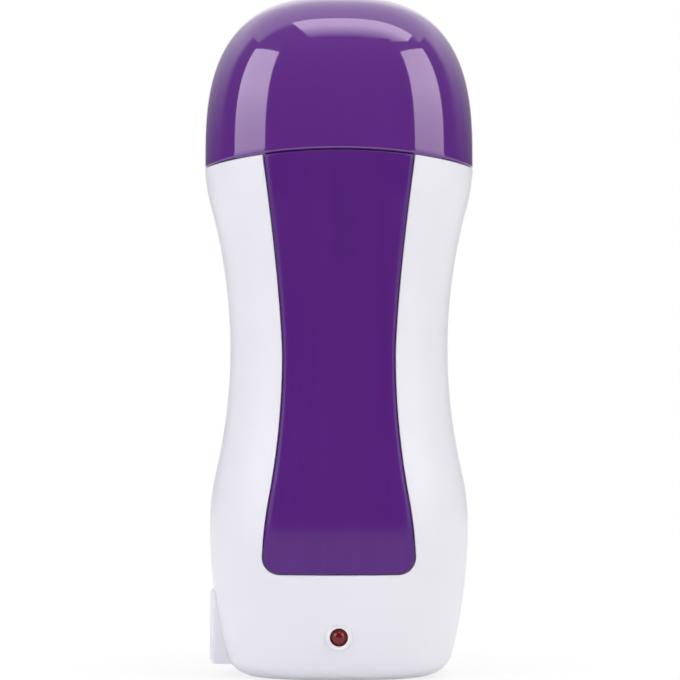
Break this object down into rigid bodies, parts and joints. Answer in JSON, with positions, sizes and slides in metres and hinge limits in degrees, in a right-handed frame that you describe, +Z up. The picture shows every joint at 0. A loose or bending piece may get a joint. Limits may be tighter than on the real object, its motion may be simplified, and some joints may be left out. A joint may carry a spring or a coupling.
{
  "type": "roll-on wax heater",
  "caption": "Hand-held heater for roll-on wax cartridges: an oval waisted shell with a panel, an indicator lamp, a side power inlet and a lift-off domed cap.",
  "frame": {"origin": "middle of the flat foot that the heater stands on", "axes": "+Z up, the front with the panel and lamp faces -Y, the power inlet is on the -X side"},
  "size_m": [0.077, 0.0613, 0.194],
  "materials": {
    "white_shell": "satin moulded plastic",
    "panel": "satin moulded plastic",
    "cap_plastic": "polished moulded plastic",
    "collar_plastic": "moulded plastic",
    "aluminium": "drawn, matte",
    "silicone": "moulded silicone",
    "ceramic": "fired ceramic",
    "brass": "stamped sheet",
    "film": "thin insulating film",
    "steel": "zinc plated",
    "fuse_case": "lacquered",
    "lamp_lens": "polished, tinted",
    "board": "solder mask",
    "resistor_case": "lacquered",
    "diode_case": "moulded epoxy",
    "black_plastic": "moulded plastic",
    "pin_metal": "nickel plated",
    "brown_lead": "insulated wire",
    "blue_lead": "insulated wire",
    "black_lead": "insulated wire"
  },
  "bodies": {
    "housing": {"front_shell": "white_shell", "rear_shell": "white_shell", "front_panel": "panel", "top_collar": "collar_plastic", "heating_chamber": "aluminium", "chamber_pad": "silicone", "heating_tiles": "ceramic", "inner_electrode": "brass", "outer_electrode": "brass", "insulating_sleeve": "film", "heater_clamp": "steel", "clamp_screws": "steel", "thermal_fuse": "fuse_case", "fuse_clip": "steel", "indicator_lamp": "lamp_lens", "lamp_board": "board", "dropper_resistor": "resistor_case", "rectifier_diode": "diode_case", "power_inlet": "black_plastic", "inlet_pins": "pin_metal", "housing_screws": "steel", "live_lead": "brown_lead", "fuse_lead": "brown_lead", "neutral_lead": "blue_lead", "lamp_leads": "black_lead"},
    "cap": {"cap": "cap_plastic"}
  },
  "joints": [
    {"name": "cap_lift", "type": "slide", "parent": "housing", "child": "cap", "axis": [0, 0, 1], "range_m": [0, 0.06]}
  ]
}
